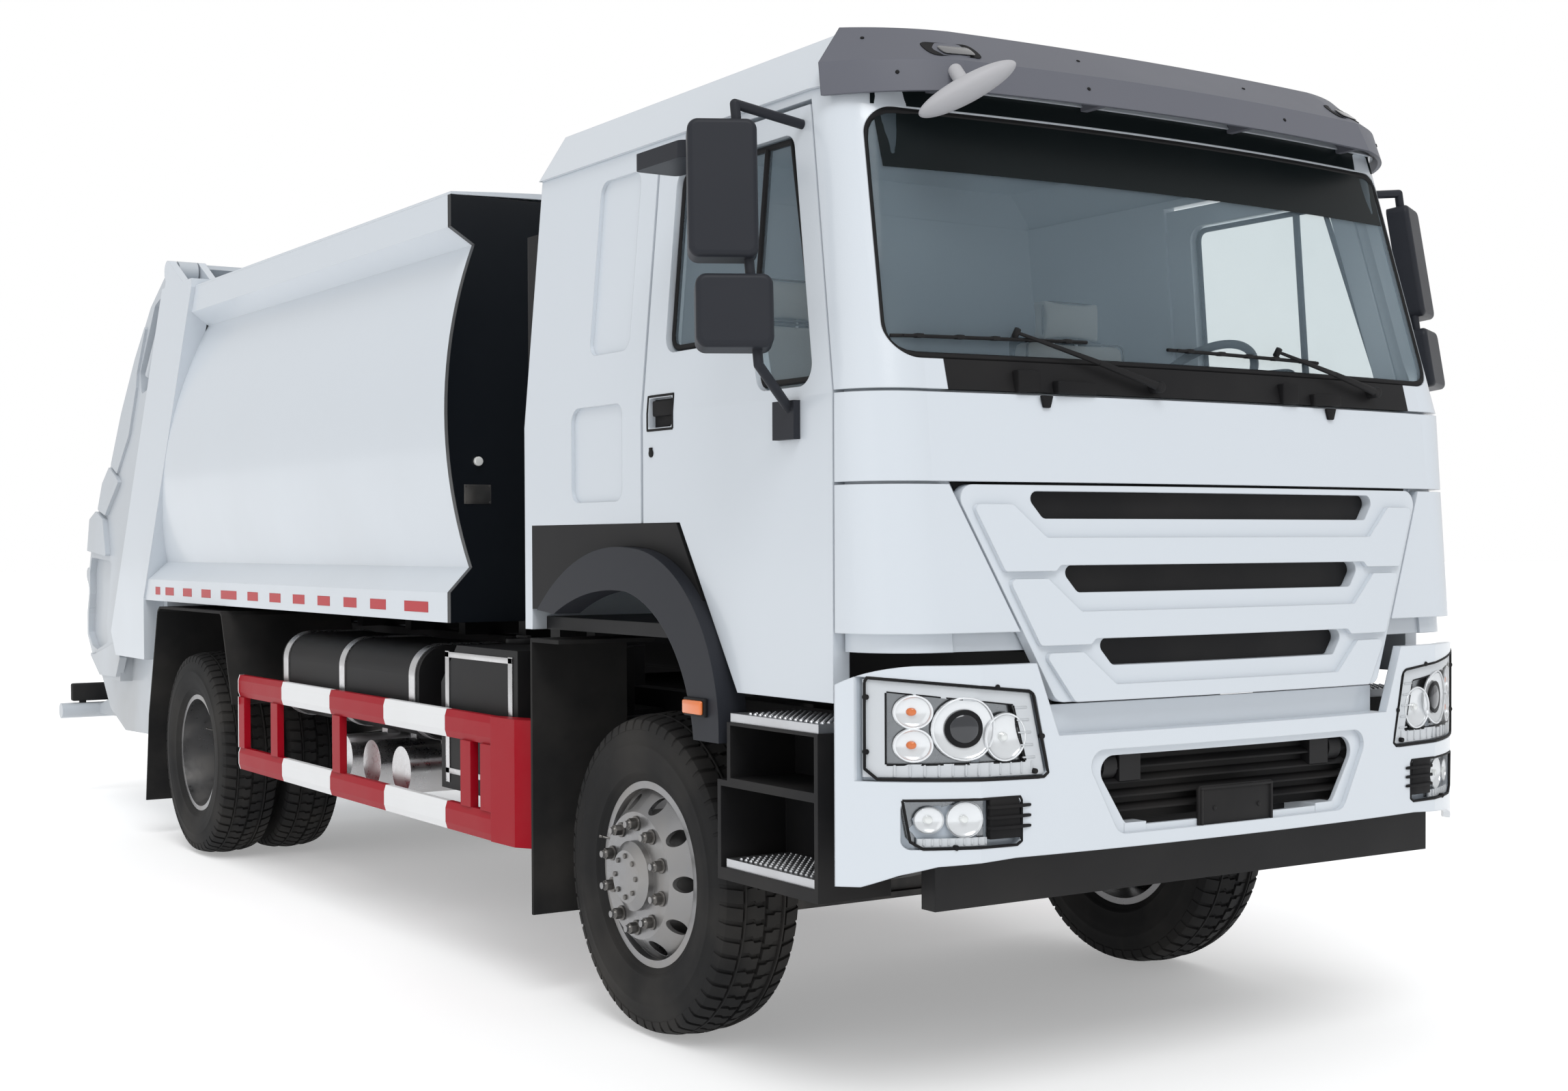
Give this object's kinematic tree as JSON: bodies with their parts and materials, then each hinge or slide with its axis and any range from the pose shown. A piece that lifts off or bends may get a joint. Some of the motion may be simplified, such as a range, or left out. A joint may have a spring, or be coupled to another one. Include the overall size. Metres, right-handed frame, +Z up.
{
  "type": "rear-loading garbage truck",
  "caption": "Two-axle forward-control garbage truck with a bulged compactor body, a rear tailgate hopper with packing blade, a bin lifter, a tilting cab, opening doors and steered wheels.",
  "frame": {"origin": "on the ground midway between the nose and the tail, on the truck's centre line", "axes": "+Z up; the front faces -Y, so +Y points to the tail; +X is the truck's left-hand side"},
  "size_m": [3.0567, 8.9419, 3.0978],
  "materials": {
    "white_paint": "gloss",
    "chassis_paint": "satin",
    "axle_iron": "satin",
    "wheel_silver": "satin",
    "tyre": "matte",
    "black_plastic": "textured",
    "grey_plastic": "textured",
    "clear_glass": "polished",
    "lamp_glass": "polished",
    "seat_fabric": "woven",
    "bright_metal": "brushed",
    "guard_paint": "gloss",
    "black_paint": "satin",
    "rubber_black": "matte",
    "ram_steel": "polished"
  },
  "bodies": {
    "chassis": {"frame_rails": "chassis_paint", "axles": "axle_iron", "leaf_springs": "axle_iron", "engine_and_driveline": "axle_iron", "bumper": "white_paint", "front_lamps": "lamp_glass", "step_wells": "black_plastic", "step_treads": "bright_metal", "tanks_and_intake_duct": "black_plastic", "straps_and_air_tanks": "bright_metal", "side_guards": "guard_paint", "mudguards_and_flaps": "rubber_black", "body_sides": "white_paint", "body_roof": "white_paint", "body_floor": "chassis_paint", "body_front_wall": "black_paint", "body_rear_frame": "white_paint"},
    "cab": {"cab_shell": "white_paint", "cab_roof": "white_paint", "cab_floor": "chassis_paint", "windscreen": "clear_glass", "hood_and_corner_panels": "white_paint", "grille_panel": "white_paint", "cab_black_trims": "black_plastic", "sun_visor": "grey_plastic", "front_mirror": "grey_plastic", "wheel_arches": "grey_plastic", "seats_and_dashboard": "seat_fabric"},
    "right_door": {"door_right": "white_paint", "door_glass_right": "clear_glass", "mirror_right": "black_plastic"},
    "left_door": {"door_left": "white_paint", "door_glass_left": "clear_glass", "mirror_left": "black_plastic"},
    "right_knuckle": {"knuckle_right": "axle_iron"},
    "left_knuckle": {"knuckle_left": "axle_iron"},
    "front_right_wheel": {"wheel_front_right": "wheel_silver", "tyre_front_right": "tyre"},
    "front_left_wheel": {"wheel_front_left": "wheel_silver", "tyre_front_left": "tyre"},
    "rear_right_wheels": {"wheels_rear_right": "wheel_silver", "tyres_rear_right": "tyre"},
    "rear_left_wheels": {"wheels_rear_left": "wheel_silver", "tyres_rear_left": "tyre"},
    "tailgate_body": {"tailgate": "white_paint"},
    "carriage": {"packer_carriage": "white_paint"},
    "blade": {"packing_blade": "white_paint"},
    "lifter": {"bin_lifter": "white_paint"},
    "ram_barrel": {"lifter_ram_barrel": "white_paint"},
    "ram_rod": {"lifter_ram_rod": "ram_steel"}
  },
  "joints": [
    {"name": "cab_tilt", "type": "hinge", "parent": "chassis", "child": "cab", "pos_m": [0, -4.382, 0.96], "axis": [1, 0, 0], "range_deg": [0, 50]},
    {"name": "right_door_hinge", "type": "hinge", "parent": "cab", "child": "right_door", "pos_m": [-1.195, -4.135, 1.9], "axis": [0, 0, 1], "range_deg": [0, 70]},
    {"name": "left_door_hinge", "type": "hinge", "parent": "cab", "child": "left_door", "pos_m": [1.195, -4.135, 1.9], "axis": [0, 0, -1], "range_deg": [0, 70]},
    {"name": "right_steer", "type": "hinge", "parent": "chassis", "child": "right_knuckle", "pos_m": [-0.9, -2.997, 0.522], "axis": [0, 0, 1], "range_deg": [-35, 35]},
    {"name": "left_steer", "type": "hinge", "parent": "chassis", "child": "left_knuckle", "pos_m": [0.9, -2.997, 0.522], "axis": [0, 0, 1], "range_deg": [-35, 35]},
    {"name": "front_right_spin", "type": "hinge", "parent": "right_knuckle", "child": "front_right_wheel", "pos_m": [-1.013, -2.997, 0.522], "axis": [1, 0, 0], "continuous": true},
    {"name": "front_left_spin", "type": "hinge", "parent": "left_knuckle", "child": "front_left_wheel", "pos_m": [1.013, -2.997, 0.522], "axis": [1, 0, 0], "continuous": true},
    {"name": "rear_right_spin", "type": "hinge", "parent": "chassis", "child": "rear_right_wheels", "pos_m": [-0.897, 1.603, 0.522], "axis": [1, 0, 0], "continuous": true},
    {"name": "rear_left_spin", "type": "hinge", "parent": "chassis", "child": "rear_left_wheels", "pos_m": [0.897, 1.603, 0.522], "axis": [1, 0, 0], "continuous": true},
    {"name": "tailgate_hinge", "type": "hinge", "parent": "chassis", "child": "tailgate_body", "pos_m": [0, 1.993, 3.04], "axis": [1, 0, 0], "range_deg": [0, 75]},
    {"name": "packer_slide", "type": "slide", "parent": "tailgate_body", "child": "carriage", "axis": [0, 0.503, -0.8643], "range_m": [0, 0.6]},
    {"name": "blade_hinge", "type": "hinge", "parent": "carriage", "child": "blade", "pos_m": [0, 2.953, 1.77], "axis": [1, 0, 0], "range_deg": [0, 80]},
    {"name": "lifter_hinge", "type": "hinge", "parent": "tailgate_body", "child": "lifter", "pos_m": [0, 3.843, 1.2], "axis": [1, 0, 0], "range_deg": [0, 55]},
    {"name": "lifter_ram_pivot", "type": "hinge", "parent": "tailgate_body", "child": "ram_barrel", "pos_m": [0, 4.153, 0.62], "axis": [1, 0, 0], "range_deg": [-1, 9.8]},
    {"name": "lifter_ram_slide", "type": "slide", "parent": "ram_barrel", "child": "ram_rod", "axis": [0, 0.0555, 0.9985], "range_m": [-0.002, 0.3028]}
  ],
  "couplings": [
    {"joint": "left_steer", "follows": "right_steer", "ratio": 1},
    {"joint": "lifter_ram_pivot", "follows": "lifter_hinge", "ratio": 0.15999},
    {"joint": "lifter_ram_slide", "follows": "lifter_hinge", "m_per_rad": 0.31124}
  ]
}
